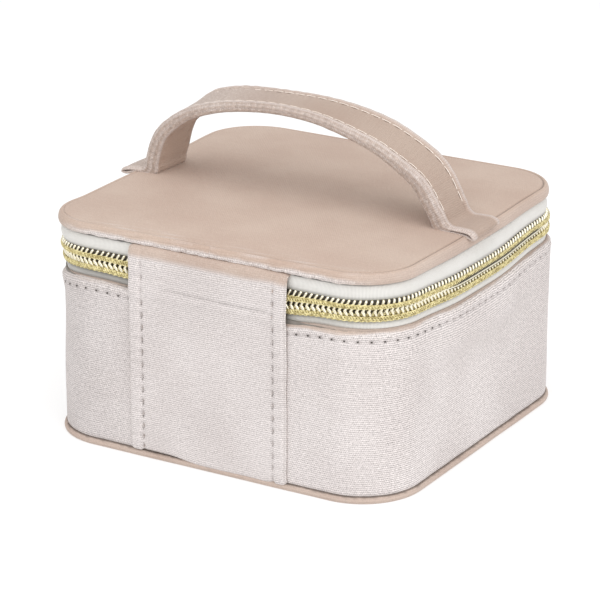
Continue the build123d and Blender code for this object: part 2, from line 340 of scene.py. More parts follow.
# ---------------------------------------------------------------- shader helpers
class Shader:
    """A node material with one Principled shader, built from short calls."""

    def __init__(self, name):
        self.material = bpy.data.materials.new(name)
        self.material.use_nodes = True
        self.tree = self.material.node_tree
        self.surface = self.tree.nodes["Principled BSDF"]

    def add(self, kind, **settings):
        node = self.tree.nodes.new(kind)
        for key, value in settings.items():
            setattr(node, key, value)
        return node

    def put(self, socket, value):
        if isinstance(value, bpy.types.NodeSocket):
            self.tree.links.new(value, socket)
        elif isinstance(value, (tuple, list)) and len(value) == 3 and socket.type == "RGBA":
            socket.default_value = (*value, 1.0)
        else:
            socket.default_value = value

    def math(self, operation, a, b=0.0, c=0.0):
        node = self.add("ShaderNodeMath", operation=operation)
        for socket, value in zip(node.inputs, (a, b, c)):
            self.put(socket, value)
        return node.outputs[0]

    def scaled(self, vector, factors):
        node = self.add("ShaderNodeVectorMath", operation="MULTIPLY")
        self.put(node.inputs[0], vector)
        self.put(node.inputs[1], factors)
        return node.outputs[0]

    def noise(self, vector, scale, detail=2.0, roughness=0.5):
        node = self.add("ShaderNodeTexNoise")
        self.put(node.inputs["Vector"], vector)
        self.put(node.inputs["Scale"], scale)
        self.put(node.inputs["Detail"], detail)
        self.put(node.inputs["Roughness"], roughness)
        return node.outputs["Fac"]

    def mix(self, factor, a, b, blend="MIX"):
        node = self.add("ShaderNodeMix", data_type="RGBA", blend_type=blend)
        self.put(node.inputs["Factor"], factor)
        self.put(node.inputs["A"], a)
        self.put(node.inputs["B"], b)
        return node.outputs["Result"]

    def between(self, value, low, high, to_low=0.0, to_high=1.0):
        node = self.add("ShaderNodeMapRange", interpolation_type="SMOOTHSTEP")
        for key, number in zip(
            ("Value", "From Min", "From Max", "To Min", "To Max"),
            (value, low, high, to_low, to_high),
        ):
            self.put(node.inputs[key], number)
        return node.outputs[0]

    def split(self, vector):
        """The three parts of a vector."""
        node = self.add("ShaderNodeSeparateXYZ")
        self.put(node.inputs[0], vector)
        return node.outputs

    def tinted(self, colour, value):
        """A colour made lighter or darker by one number."""
        node = self.add("ShaderNodeCombineColor")
        for socket in node.inputs:
            self.put(socket, value)
        return self.mix(1.0, colour, node.outputs[0], "MULTIPLY")

    def attribute(self, name, output="Vector"):
        return self.add("ShaderNodeAttribute", attribute_name=name).outputs[output]

    def object_place(self):
        return self.add("ShaderNodeTexCoord").outputs["Object"]

    def bump(self, height, distance, strength=1.0):
        node = self.add("ShaderNodeBump")
        self.put(node.inputs["Height"], height)
        self.put(node.inputs["Distance"], distance)
        self.put(node.inputs["Strength"], strength)
        self.tree.links.new(node.outputs[0], self.surface.inputs["Normal"])

    def set(self, **values):
        for key, value in values.items():
            self.put(self.surface.inputs[key.replace("_", " ")], value)


# The velvet's ribs and its yarns along them, and the zip tape's ribs.
RIB_PITCH = 0.64
YARN_PITCH = 0.6
TAPE_RIB_PITCH = 0.42


def velvet_material():
    """Brushed velvet, finely ribbed: rosy, and painted pale where the pile catches light (a painted
    sheen) and on pale thread and lint.
    """
    s = Shader("velvet")
    cloth = s.attribute("cloth")
    pale_and_sheen = s.attribute("pale_and_sheen", "Fac")
    place = s.object_place()
    along, across, shade = s.split(cloth)
    drift = s.noise(s.scaled(cloth, (0.05, 0.05, 0.05)), 6.0, 1.0)
    drift = s.math("MULTIPLY", drift, 4.0)
    rib_phase = s.math("ADD", s.math("MULTIPLY", across, TURN / RIB_PITCH), drift)
    rib = s.math("SINE", rib_phase)
    yarn_place = s.math("MULTIPLY", along, TURN / YARN_PITCH)
    yarn = s.math("SINE", s.math("ADD", yarn_place, s.math("MULTIPLY", rib_phase, 0.5)))
    weave = s.math("MULTIPLY_ADD", yarn, 0.5, rib)
    patches = s.noise(place, 45.0, 2.0, 0.5)
    streaks = s.noise(s.scaled(cloth, (0.03, 0.5, 0.5)), 3.0, 3.0, 0.6)
    fibres = s.noise(s.scaled(cloth, (1.0, 1.5, 1.0)), 1.75, 2.0, 0.75)
    tufts = s.noise(cloth, 0.8, 2.0, 0.6)
    spread = s.math("MULTIPLY_ADD", streaks, 0.3, s.math("MULTIPLY", patches, 0.7))
    tone = s.between(spread, 0.33, 0.67)
    rosy = s.mix(tone, (0.460, 0.342, 0.278), (0.511, 0.397, 0.327))
    pale = s.mix(tone, (0.598, 0.548, 0.534), (0.657, 0.609, 0.596))
    colour = s.mix(pale_and_sheen, rosy, pale)
    depth = s.math("MULTIPLY_ADD", pale_and_sheen, 0.165, 0.008)
    speck = s.math("MULTIPLY_ADD", pale_and_sheen, 0.95, 0.3)
    grain = s.math("MULTIPLY_ADD", weave, depth, 1.0)
    grain = s.math("MULTIPLY_ADD", s.math("SUBTRACT", fibres, 0.5), speck, grain)
    soft_speck = s.math("MULTIPLY", speck, 0.3)
    grain = s.math("MULTIPLY_ADD", s.math("SUBTRACT", tufts, 0.5), soft_speck, grain)
    # The shade from the mesh darkens the colour, mostly painted shade at needle holes, grooves,
    # creases, seams and the wall's dimmer ends; below 0 it paints light.
    grain = s.math("MULTIPLY", grain, s.math("SUBTRACT", 1.0, shade))
    colour = s.tinted(colour, grain)
    fuzz = s.attribute("fuzz", "Fac")
    lint = s.noise(s.scaled(cloth, (1.4, 0.45, 0.0)), 2.0, 3.0, 0.7)
    dim = s.math("MULTIPLY", fuzz, s.between(lint, 0.44, 0.30))
    colour = s.mix(dim, colour, (0.30, 0.235, 0.195))
    lit = s.math("MULTIPLY", fuzz, s.between(lint, 0.51, 0.68))
    colour = s.mix(lit, colour, (0.84, 0.775, 0.73))
    s.set(Base_Color=colour, Roughness=0.82, Specular_IOR_Level=0.12, Sheen_Weight=0.22)
    s.set(Sheen_Roughness=0.42, Sheen_Tint=(1.0, 0.95, 0.92))
    height = s.math("MULTIPLY_ADD", fibres, 0.9, s.math("MULTIPLY", weave, 0.5))
    s.bump(height, 0.00009, 0.6)
    return s.material


def tape_material():
    """Off-white zip tape with very fine ribs across it."""
    s = Shader("zip_tape")
    cloth = s.attribute("cloth")
    # dark from the mesh: painted shade under the lid's edge and beside the coils.
    along, _, dark = s.split(cloth)
    rib = s.math("SINE", s.math("MULTIPLY", along, TURN / TAPE_RIB_PITCH))
    soil = s.noise(s.scaled(cloth, (0.05, 0.05, 0.05)), 5.0, 3.0)
    base = s.mix(soil, (0.70, 0.68, 0.645), (0.77, 0.752, 0.72))
    ribbed = s.math("MULTIPLY_ADD", rib, 0.13, 0.97)
    shade = s.math("MULTIPLY", ribbed, s.math("SUBTRACT", 1.0, dark))
    s.set(Base_Color=s.tinted(base, shade), Roughness=0.75)
    s.set(Sheen_Weight=0.15, Sheen_Roughness=0.5)
    s.bump(rib, 0.00006, 0.7)
    return s.material


def gold_material(name, colour, dark, metallic, roughness, scale=420.0):
    """Pale gold with a finely uneven finish."""
    s = Shader(name)
    place = s.object_place()
    cloud = s.noise(place, scale, 3.0, 0.6)
    s.set(Base_Color=s.mix(s.between(cloud, 0.35, 0.65), dark, colour), Metallic=metallic)
    s.set(Roughness=s.between(cloud, 0.2, 0.8, roughness * 0.8, roughness * 1.25))
    s.bump(s.noise(place, 2600.0, 2.0), 0.00002, 0.5)
    return s.material


def plain_material(name, low, high, scale, roughness, relief, sheen=0.0):
    """An even material whose colour and relief vary a little at one scale."""
    s = Shader(name)
    place = s.object_place()
    cloud = s.noise(place, scale, 4.0, 0.6)
    s.set(Base_Color=s.mix(s.between(cloud, 0.3, 0.7), low, high), Roughness=roughness)
    s.set(Sheen_Weight=sheen, Sheen_Roughness=0.4)
    s.bump(s.noise(place, scale * 6, 3.0), relief, 0.6)
    return s.material


VELVET = velvet_material()
TAPE = tape_material()
COIL = gold_material("gold_coil", (0.93, 0.88, 0.72), (0.84, 0.78, 0.60), 0.9, 0.22)
METAL = gold_material("gold_metal", (0.86, 0.75, 0.48), (0.83, 0.715, 0.45), 1.0, 0.2)
COIL_THREAD = gold_material(
    "coil_thread", (0.86, 0.77, 0.42), (0.42, 0.34, 0.14), 0.35, 0.42, 1100.0
)
# Near-black: painted shade between the zip's turns and beside its heads.
CORE_SHADE = plain_material("coil_core_shade", (0.022, 0.018, 0.012), (0.06, 0.05, 0.034), 900.0, 0.7, 0.00003)
# Near-black: painted shade in the needle holes.
HOLE_SHADOW = plain_material("needle_hole_shadow", (0.06, 0.05, 0.045), (0.10, 0.085, 0.078), 1500.0, 0.9, 0.00002)
PALE_THREAD = plain_material(
    "pale_thread", (0.78, 0.68, 0.60), (0.88, 0.80, 0.73), 1500.0, 0.5, 0.00002, 0.2
)
SUEDE = plain_material("suede_lining", (0.50, 0.39, 0.34), (0.60, 0.49, 0.43), 90.0, 0.9, 0.00006, 0.3)
FOAM = plain_material("foam", (0.66, 0.64, 0.60), (0.74, 0.72, 0.68), 700.0, 0.9, 0.0001)
BOARD = plain_material("grey_board", (0.20, 0.18, 0.16), (0.27, 0.245, 0.22), 300.0, 0.85, 0.00005)


def mirror_material():
    """Silvered glass with a trace of haze."""
    s = Shader("mirror")
    haze = s.noise(s.object_place(), 40.0, 2.0)
    s.set(Base_Color=s.mix(haze, (0.86, 0.88, 0.89), (0.93, 0.94, 0.95)), Metallic=1.0)
    s.set(Roughness=s.between(haze, 0.3, 0.8, 0.02, 0.05))
    return s.material


def dress(material, *names):
    """Gives CAD nodes a material in their own slots."""
    for name in names:
        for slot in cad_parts[name].material_slots:
            slot.material = material


dress(BOARD, "wall_board", "bottom_board", "lid_board")
dress(FOAM, "wall_padding", "lid_foam")
dress(METAL, "slider_left", "slider_right", "puller_left", "puller_right")
dress(mirror_material(), "lid_mirror")


# ---------------------------------------------------------------- stitching
def dent(run, off, depth, width=0.6):
    """How far a line of stitches pulls cloth in, at a run along it and a distance off it."""
    beat = np.cos(TURN * run / STITCH_PITCH)
    groove = np.exp(-((off / width) ** 2)) * (0.6 + 0.4 * beat)
    pucker = 0.22 * beat * np.exp(-np.abs(off) / 1.6)
    return depth * (groove + pucker)


def stitch_paths(place, length, sink=0.1):
    """Short curved threads from hole to hole. place(run, lift) gives a point on the line."""
    paths = []
    run = STITCH_PITCH * 0.5
    while run + STITCH_PITCH < length:
        t = np.linspace(0.05, 0.95, 9)
        lifts = 0.16 * np.sin(np.pi * t) ** 0.4 - sink
        paths.append([place(run + STITCH_PITCH * f, lift) for f, lift in zip(t, lifts)])
        run += STITCH_PITCH
    return paths


# ---------------------------------------------------------------- wall
# How far the stitch line is under the wall's top edge, and how far in the folded edge reaches.
STITCH_BELOW_TOP = 3.6
FOLD_INSET = 2.7


def hidden_side(runs):
    """1 where the wall stands close under the zip, beside the +X edge of the hinge panel."""
    x, y = sides_of(runs)
    return smooth(x, 20, 26) * smooth(y, 34, 48)


def wall_velvet():
    """The velvet band round the box, folded over the wall's top edge and top-stitched."""
    top = WALL_HIGH.z
    low = WALL_LOW.z
    foot = [(1.0, low - 0.2), (0.35, low + 0.05), (0.02, low + 0.9), (0.0, low + 5.0)]
    face = [(0.0, (low + top) / 2), (0.0, top - 5.0), (0.0, top - 2.9), (0.15, top - 1.8)]
    edge = [(0.65, top - 1.0), (1.5, top - 0.5), (FOLD_INSET, top - 0.3)]
    under = [(FOLD_INSET + 0.1, top - 1.1), (1.7, top - 1.7), (1.0, top - 3.6), (1.1, low)]
    outer = curve_through(foot + face + edge, 0.6)
    profile = np.vstack([outer, curve_through(under, 4.0)])
    across = line_lengths(profile)
    runs = np.arange(0, GIRTH, 0.7)
    s = runs[:, None]
    inset = profile[None, :, 0] + 0 * s
    height = profile[None, :, 1] + 0 * s
    on_outer = (np.arange(len(profile)) < len(outer))[None, :]
    off = height - (top - STITCH_BELOW_TOP)
    pull = dent(s, off, 0.42) * on_outer
    pull = pull + 0.14 * wander(s, height, 46.0, 1) * smooth(height, low, low + 8) * on_outer
    pull = pull + 0.08 * wander(s, height, 13.0, 2) * on_outer
    puff = smooth(off, 0.3, 1.6) * on_outer
    pull = pull - 0.3 * puff * (0.75 + 0.25 * np.cos(TURN * s / STITCH_PITCH + math.pi))
    fold = smooth(off, 1.6, 3.0) * on_outer
    creases = 0.2 * wander(0.05 * s, height + 0.25 * inset, 1.3, 4)
    pull = pull + fold * creases
    rumple = puff * (0.24 * wander(s, 0, 21.0, 3) + 0.1 * wander(s, height, 7.0, 4))
    points = round_the_case(runs, inset + pull, height + rumple * smooth(height, top - 3, top - 1))
    side_x, side_y = sides_of(runs)
    bowed = (1 - back_share(runs)[:, None]) / (1 + ((side_y + 4) / 45) ** 4)
    uneven = 0.35 * wander(s, 0, 17.0, 6) - 0.9 * bowed
    # Painted sheen: the face pale where the pile catches light, the fold's up-facing top rosy, its
    # crest a pale painted highlight. The -X side is coarser and painted paler, as lit from that side;
    # the fold stays pale close under the zip.
    pale = 1.0 - 0.8 * smooth(height + uneven, top - 1.9, top - 1.1)
    crest = np.exp(-(((height + uneven - top + 2.4) / 0.7) ** 2))
    streaks = 0.14 * fold * wander(0.04 * s, height, 0.8, 5)
    pale = pale + (1 - pale) * 0.75 * hidden_side(runs)
    coarse_and_lit = 1 + 0.45 * smooth(-side_x, 52, 58)
    pale_and_sheen = np.where(on_outer, coarse_and_lit * (pale + 0.35 * crest + streaks), 0.2)
    # Painted shade: darker at each needle hole, on the +X end of the +Y face and at the far end of the
    # -X side.
    hole_shade = 0.05 + 0.12 * smooth(np.cos(TURN * s / STITCH_PITCH), 0.5, 1.0)
    hole_shade = np.exp(-((off / 0.4) ** 2)) * hole_shade
    side_shade = 0.11 * smooth(side_x, 15, 50) * smooth(side_y, 20, 50)
    side_shade = side_shade + 0.035 * smooth(-side_x, 50, 58) * smooth(-side_y, -5, 15)
    cloth = cloth_place(s, across[None, :], hole_shade * on_outer + side_shade)
    fuzz = on_outer * (0.75 * crest + 0.3 * smooth(height, top - 2.0, top - 0.6))
    return sheet("wall_velvet", points, cloth, pale_and_sheen, VELVET, close_rows=True, fuzz=fuzz)


def wall_line(run, lift):
    """A point on the wall's stitch line, lifted off the cloth."""
    return path_round_the_case(np.array([run]), 0.3 - lift, WALL_HIGH.z - STITCH_BELOW_TOP)[0]


def wall_hole(run, lift):
    """A needle hole on the stitch line: the pile closes over it along the sides of the case."""
    x, y = outline([run])[0][0]
    covered = smooth(abs(x), 50, 58) * (1 - smooth(y, 4, 34)) * (1 - smooth(-y, 36, 52))
    return wall_line(run, lift - 0.3 * covered)


def wall_stitches():
    """The row of top-stitching under the wall's folded edge."""
    paths = stitch_paths(wall_line, GIRTH + STITCH_PITCH)
    return tube("wall_stitches", paths, 0.16, 6, VELVET, 0.95)


def hole_shadows(name, places, length, half, radius):
    """Needle holes between the stitches of one or more lines: small near-black tubes, painted shade.
    """
    paths = []
    for place in places:
        for k in range(1, int(length / STITCH_PITCH) + 1):
            run = k * STITCH_PITCH
            paths.append([place(run - half, 0.0), place(run, 0.0), place(run + half, 0.0)])
    return tube(name, paths, radius, 6, HOLE_SHADOW)


# ---------------------------------------------------------------- bottom trim
def bottom_edge():
    """The bound edge round the underside, standing out a little past the wall's face."""
    top = TRIM_HIGH.z
    below = [(2.7, 0.02), (0.1, 0.0), (-0.6, 0.12), (-0.85, 0.7)]
    above = [(-0.55, top - 0.45), (0.1, top - 0.15), (1.3, top), (2.7, top)]
    profile = curve_through(below + above, 0.4)
    across = line_lengths(profile)
    runs = np.arange(0, GIRTH, 1.4)
    s = runs[:, None]
    inset = profile[None, :, 0] + 0.06 * wander(s, profile[None, :, 1] * 4, 17.0, 5)
    points = round_the_case(runs, inset, profile[None, :, 1])
    # Painted shadow: a dark line along the trim's top, where the wall meets it.
    seam = 0.55 * smooth(profile[None, :, 1] + 0.1 * wander(s, 0, 2.3, 33), top - 0.35, top - 0.15)
    cloth = cloth_place(s, across[None, :], seam)
    return sheet("bottom_edge", points, cloth, 0.16, VELVET, close_rows=True, fuzz=0.1)


# ---------------------------------------------------------------- zip
COIL_PITCH = 1.78
# The radius of each coil's wire.
WIRE = {"lower_zip_coil": 0.56, "upper_zip_coil": 0.45}
# How far a turn leans along the zip, and how flat its sides are, where 1 is an ellipse.
COIL_LEAN = 0.42
COIL_SQUARE = 0.5
# How far each coil's heads reach past the middle of the zip, and how far both coils hang.
COIL_OVERLAP = 0.7
COIL_DROP = 0.3
# Where the zip ends under the hinge panel, from the middle of the back.
TAPE_END = PANEL_HALF - 2.4


def along_zip(step):
    """Runs from one end of the zip to the other, both ends under the hinge panel."""
    return np.arange(TAPE_END, GIRTH - TAPE_END, step)


def coil(name, low, high, inset, way):
    """One row of the zip: a wound coil, flattened front to back, between two heights."""
    turns = (GIRTH - 2 * TAPE_END) / COIL_PITCH
    angle = np.arange(0, turns, 1 / 20) * TURN
    runs = TAPE_END + COIL_PITCH * angle / TURN
    swing = way * np.cos(angle)
    depth = np.sin(angle)
    half_height = (high - low) / 2 - WIRE[name]
    half_depth = 1.0 - WIRE[name]
    heights = (low + high) / 2 + half_height * np.sign(swing) * np.abs(swing) ** COIL_SQUARE
    insets = inset + 1.0 - half_depth * np.sign(depth) * np.abs(depth) ** COIL_SQUARE
    runs = runs - 0.08 * COIL_PITCH * np.sin(2 * angle)
    lean = COIL_LEAN * (0.15 + 0.85 * back_share(np.mod(runs, GIRTH)))
    runs = runs - way * lean * (heights - (low + high) / 2) / half_height
    return tube(name, [path_round_the_case(runs, insets, heights)], WIRE[name], 7, COIL)


def coil_threads(name, middle, inset, outer):
    """The chain of sewing thread over the turns of a coil: two crossing cords and an outer one."""
    runs = along_zip(COIL_PITCH / 8)
    turn = TURN * (runs - TAPE_END) / COIL_PITCH
    paths = []
    for sign in (-1, 1):
        weave = 0.42 * sign * np.cos(turn)
        bob = 0.12 * sign * np.sin(turn)
        paths.append(path_round_the_case(runs, inset - 0.1 + bob, middle + weave))
    bob = 0.14 * np.cos(turn)
    paths.append(path_round_the_case(runs, inset + bob, middle + outer + 0.1 * np.sin(turn)))
    if outer < 0:
        paths.append(path_round_the_case(runs, inset + 0.75, middle - outer + 0.1 * np.sin(turn)))
    return tube(name, paths, 0.24, 6, COIL_THREAD)


def band_round(name, outline_points, step, material, runs, waviness=0.0, seed=7, tuck=0.0, dark=None):
    """A closed strip along the zip, from a closed profile of insets and heights.

    tuck draws the strip in along the back of the case, and dark(run, height) gives its painted shade.
    """
    profile = curve_through(outline_points, step)
    across = line_lengths(profile)
    s = runs[:, None]
    inset = profile[None, :, 0] + waviness * wander(s, profile[None, :, 1], 30.0, seed)
    inset = inset + tuck * back_share(runs)[:, None]
    points = round_the_case(runs, inset, profile[None, :, 1])
    cloth = cloth_place(s, across[None, :], dark(s, profile[None, :, 1]) if dark else 0.0)
    return sheet(name, points, cloth, 0.0, material, caps=True)


def upper_tape():
    """The tape between the lid and the zip: it swells out a little and turns in to the coil."""
    top = RIM_LOW.z
    coil_top = UPPER_COIL_HIGH.z
    face = [(2.4, top + 0.2), (1.7, top - 1.2), (1.35, top - 2.8)]
    face += [(1.8, coil_top - 0.3), (2.85, coil_top - 1.6)]
    back = [(3.35, coil_top - 1.7), (2.4, coil_top + 0.2)]
    back += [(2.0, top - 2.6), (2.3, top - 1.2), (3.0, top + 0.15)]

    def dark(run, height):
        hinge = back_share(run[:, 0])[:, None]
        ragged = 0.12 * wander(run, 0, 3.1, 25) + 0.08 * wander(run, 0, 1.3, 26)
        # Painted shade: a ragged dark line under the lid's edge, darkest along the hinge, and grey
        # next to the coil.
        under_lid = smooth(height + ragged, top - 0.6, top - 0.3) * (0.45 + 0.4 * hinge)
        return under_lid + 0.4 * (1 - smooth(height, coil_top, coil_top + 1.1))

    return band_round("upper_zip_tape", face + back, 0.3, TAPE, along_zip(0.9), 0.12, dark=dark)


def lower_tape():
    """The tape between the zip and the wall's fold: tucked in at the back, swelling at the sides."""
    top = WALL_HIGH.z
    coil_low = LOWER_COIL_LOW.z
    face = [(2.9, coil_low + 1.8), (2.1, coil_low + 0.4), (1.5, coil_low - 0.4)]
    face += [(1.3, top + 0.6), (1.5, top - 0.6), (2.3, top - 3)]
    back = [(2.9, top - 3), (2.1, top - 0.5), (1.9, top + 0.7)]
    back += [(2.0, coil_low - 0.3), (2.8, coil_low + 0.6), (3.4, coil_low + 1.9)]

    def dark(run, height):
        hinge = back_share(run[:, 0])[:, None]
        # Painted shade: darker under the coil, along the hinge and where the wall stands close under
        # the zip.
        shaded = 0.12 * hinge + 0.26 * hidden_side(run[:, 0])
        return 0.38 * smooth(height, coil_low - 1.2, coil_low + 0.2) + shaded

    return band_round("lower_zip_tape", face + back, 0.5, TAPE, along_zip(1.1), 0.15, 8, 0.3, dark)


def seam_line(name, height, inset, radius, material):
    """A line along the middle of the zip on each side of the case, where the coils' heads meet."""
    paths = []
    for start in (LENGTH_X / 2 + ARC + 12, LENGTH_X * 1.5 + 2.9 * ARC + LENGTH_Y):
        runs = np.arange(start, start + LENGTH_Y - 12 + 0.1 * ARC, 1.0)
        ends = np.minimum(runs - runs[0], runs[-1] - runs)
        paths.append(path_round_the_case(runs, inset + 0.7 * (1 - smooth(ends, 0, 9)), height))
    return tube(name, paths, radius, 6, material)


def core_shade(name, low, high, inset):
    """The filler behind a coil, painted near-black: painted shade that shows between its turns."""
    ring = [(inset, low), (inset, high), (2.6, high), (2.6, low)]
    return band_round(name, ring, 0.7, CORE_SHADE, along_zip(1.5))


# ---------------------------------------------------------------- lid
# How far in from the outline the groove between the lid's bead and its top is.
GROOVE_INSET = 2.55


def back_share(runs):
    """1 along the hinge side of the lid, falling to 0 in the middle of both back corners."""
    distance = np.minimum(runs, GIRTH - runs)
    return 1 - smooth(distance, LENGTH_X / 2 - 4, LENGTH_X / 2 + 0.55 * ARC)


def lid_velvet():
    """The padded lid: a flat top that meets a soft bead at a groove, folded under all round."""
    low = RIM_LOW.z
    top = LID_TOP
    under = [(5.2, low - 0.02), (2.4, low - 0.05), (1.3, low + 0.05), (0.85, low + 0.7)]
    bead = [(0.85, low + 1.7), (1.15, low + 2.6), (1.85, top - 0.05), (GROOVE_INSET, top - 0.1)]
    flat_top = [(3.4, top + 0.02), (5.0, top + 0.1), (9.0, top + 0.2)]
    edge = curve_through(under + bead + flat_top, 0.24)
    runs = np.arange(0, GIRTH, 0.8)
    s = runs[:, None]
    hinge = back_share(runs)[:, None]
    inset = edge[None, :, 0] + 0 * s
    height = edge[None, :, 1] + 0 * s
    groove = np.exp(-(((inset - GROOVE_INSET) / 0.22) ** 2)) * smooth(height, low + 2, low + 2.8)
    side_x = sides_of(runs)[0]
    groove = groove * (1 - hinge) * (1 - 0.75 * smooth(side_x, 20, 50))
    height = height - 0.5 * groove
    side = smooth(height, low, low + 0.5) * (1 - smooth(height, top - 0.6, top))
    rough = 0.14 * wander(s, height, 19.0, 9) + 0.12 * hinge * wander(s, height * 3, 3.0, 10)
    inset = inset + side * rough
    frayed = hinge * (1 - smooth(height, low + 0.6, low + 2))
    threads = 0.18 * wander(s, inset * 2, 5.0, 11) + 0.1 * wander(s, inset, 1.9, 35)
    height = height + frayed * threads
    rim_points = round_the_case(runs, inset, height)
    shrink = np.linspace(1, 0, 44)[1:]
    last = rim_points[:, -1, :]
    inside = last[:, None, :] * np.array([1.0, 1.0, 0.0]) * shrink[None, :, None]
    crown = last[:, 2].mean() + 0.35
    inside[:, :, 2] = last[:, None, 2] * shrink[None, :] + crown * (1 - shrink[None, :])
    points = np.concatenate([rim_points, inside], axis=1)
    flat = smooth(points[:, :, 2], top - 0.3, top + 0.1)
    points[:, :, 2] += flat * (0.12 * wander(points[:, :, 0], points[:, :, 1], 52.0, 12))
    pale_and_sheen = np.zeros(points.shape[:2])
    # Painted sheen makes the -X side, which is lit, and brushed patches at the top near the hinge
    # paler; the frayed edge along the hinge is pale too.
    white = hinge * (1 - smooth(height + 0.3 * wander(s, 0, 9.0, 2), low + 0.9, low + 2.2))
    brushed = 0.32 * hinge * smooth(height, top - 1.2, top) * (1 - smooth(inset, 3.0, 8.5))
    brushed = brushed * wander(0.1 * s, inset, 1.3, 17)
    lit_side = 0.03 + 0.11 * smooth(-side_x, 40, 56)
    below_top = 1 - smooth(height, top - 0.6, top - 0.1)
    pale_and_sheen[:, : len(edge)] = lit_side * below_top + 0.85 * white + brushed
    cloth = np.zeros(points.shape)
    cloth[:, :, :2] = points[:, :, :2]
    # Up to the groove the weave runs with the bead; past it, it lies flat over the lid.
    turned_under = np.arange(len(edge)) < len(edge) / 3
    to_groove = np.searchsorted(edge[:, 0] + 9 * turned_under, GROOVE_INSET)
    cloth[:, :to_groove, 0] = s
    cloth[:, :to_groove, 1] = line_lengths(edge)[None, :to_groove]
    # The third cloth value: painted light, the top a little lighter towards +Y, nearer the overhead
    # lamp, and painted shade in the groove.
    near = smooth(points[:, :, 1], 5, 50)
    cloth[:, :, 2] = -0.012 - 0.035 * near * (1 - smooth(np.abs(points[:, :, 0] + 10), 20, 50))
    cloth[:, : len(edge), 2] += 0.32 * groove
    fuzz = 0.05 + 0.08 * near
    fuzz[:, : len(edge)] += 0.85 * white
    piece = sheet("lid_velvet", points, cloth, pale_and_sheen, VELVET, True, False, fuzz=fuzz)
    weld_centre(piece)
    return piece


def weld_centre(piece):
    """Joins the points that meet at the middle of a round grid."""
    grid = bmesh.new()
    grid.from_mesh(piece.data)
    bmesh.ops.remove_doubles(grid, verts=grid.verts, dist=1e-6)
    bmesh.ops.recalc_face_normals(grid, faces=grid.faces)
    grid.to_mesh(piece.data)
    grid.free()


# ---------------------------------------------------------------- hinge panel and strap
def ribbon(name, lengths, thickness, section, place, material, look):
    """A thick strip of cloth swept along a route.

    section gives the closed cross-section at a length along the strip: how far across each of
    its points is, and how deep below the outer face. place turns a row number, a place across
    and a depth into 3-D. look gives each point's paleness (mostly painted sheen), painted shade and
    fuzz.
    """
    points = []
    looks = []
    for k, length in enumerate(lengths):
        across, depth = section(length, thickness[k])
        points.append([place(k, w, d) for w, d in zip(across, depth)])
        looks.append([look(length, w, d, thickness[k]) for w, d in zip(across, depth)])
    looks = np.array(looks)
    across, _ = section(lengths[0], thickness[0])
    around = np.concatenate([[0], np.cumsum(np.abs(np.diff(across)) + 0.2)])
    cloth = cloth_place(around[None, :], lengths[:, None], looks[:, :, 1])
    pale_and_sheen, fuzz = looks[:, :, 0], looks[:, :, 2]
    return sheet(name, np.array(points), cloth, pale_and_sheen, material, caps=True, fuzz=fuzz)


def inward_of(route):
    """Unit directions to the right of the way a flat route runs."""
    tangents = np.gradient(route, axis=0)
    tangents /= np.linalg.norm(tangents, axis=1)[:, None]
    return np.column_stack([tangents[:, 1], -tangents[:, 0]])


# How far the stitch lines are from the panel's folded edges.
PANEL_STITCH = 4.5


def panel_section(length, thickness):
    """Cross-section of the hinge panel: a flat field between two folded, stitched ribs."""
    half = PANEL_HALF
    w = np.linspace(-half + 0.55, half - 0.55, 121)
    edge = half - np.abs(w)
    below_lid = smooth(length, 1.5, 8.0)
    rib = smooth(PANEL_STITCH - edge, 0.1, 1.1) * below_lid
    puff = 0.5 * rib * (1 + 0.12 * math.cos(TURN * length / STITCH_PITCH + math.pi))
    puff = puff - 0.35 * (1 - smooth(edge, 0.3, 1.3))
    uneven = 0.1 * wander(w, length, 17.0, 13) + 0.05 * wander(w, length, 5.0, 14) * rib
    depth = -puff - uneven + dent(length, edge - PANEL_STITCH, 0.5, 0.5) * below_lid
    turn = np.linspace(0, math.pi, 7)[1:-1]
    side = half - 0.55 + 0.55 * np.sin(turn) + 0.12 * wander(length, 0, 9.0, 18)
    side_depth = 0.25 + (thickness - 0.25) * (1 - np.cos(turn)) / 2
    under = np.linspace(half - 0.55, -half + 0.55, 15)
    across = np.concatenate([w, side, under, -side[::-1]])
    depth = np.concatenate([depth, side_depth, under * 0 + thickness, side_depth[::-1]])
    return across, depth


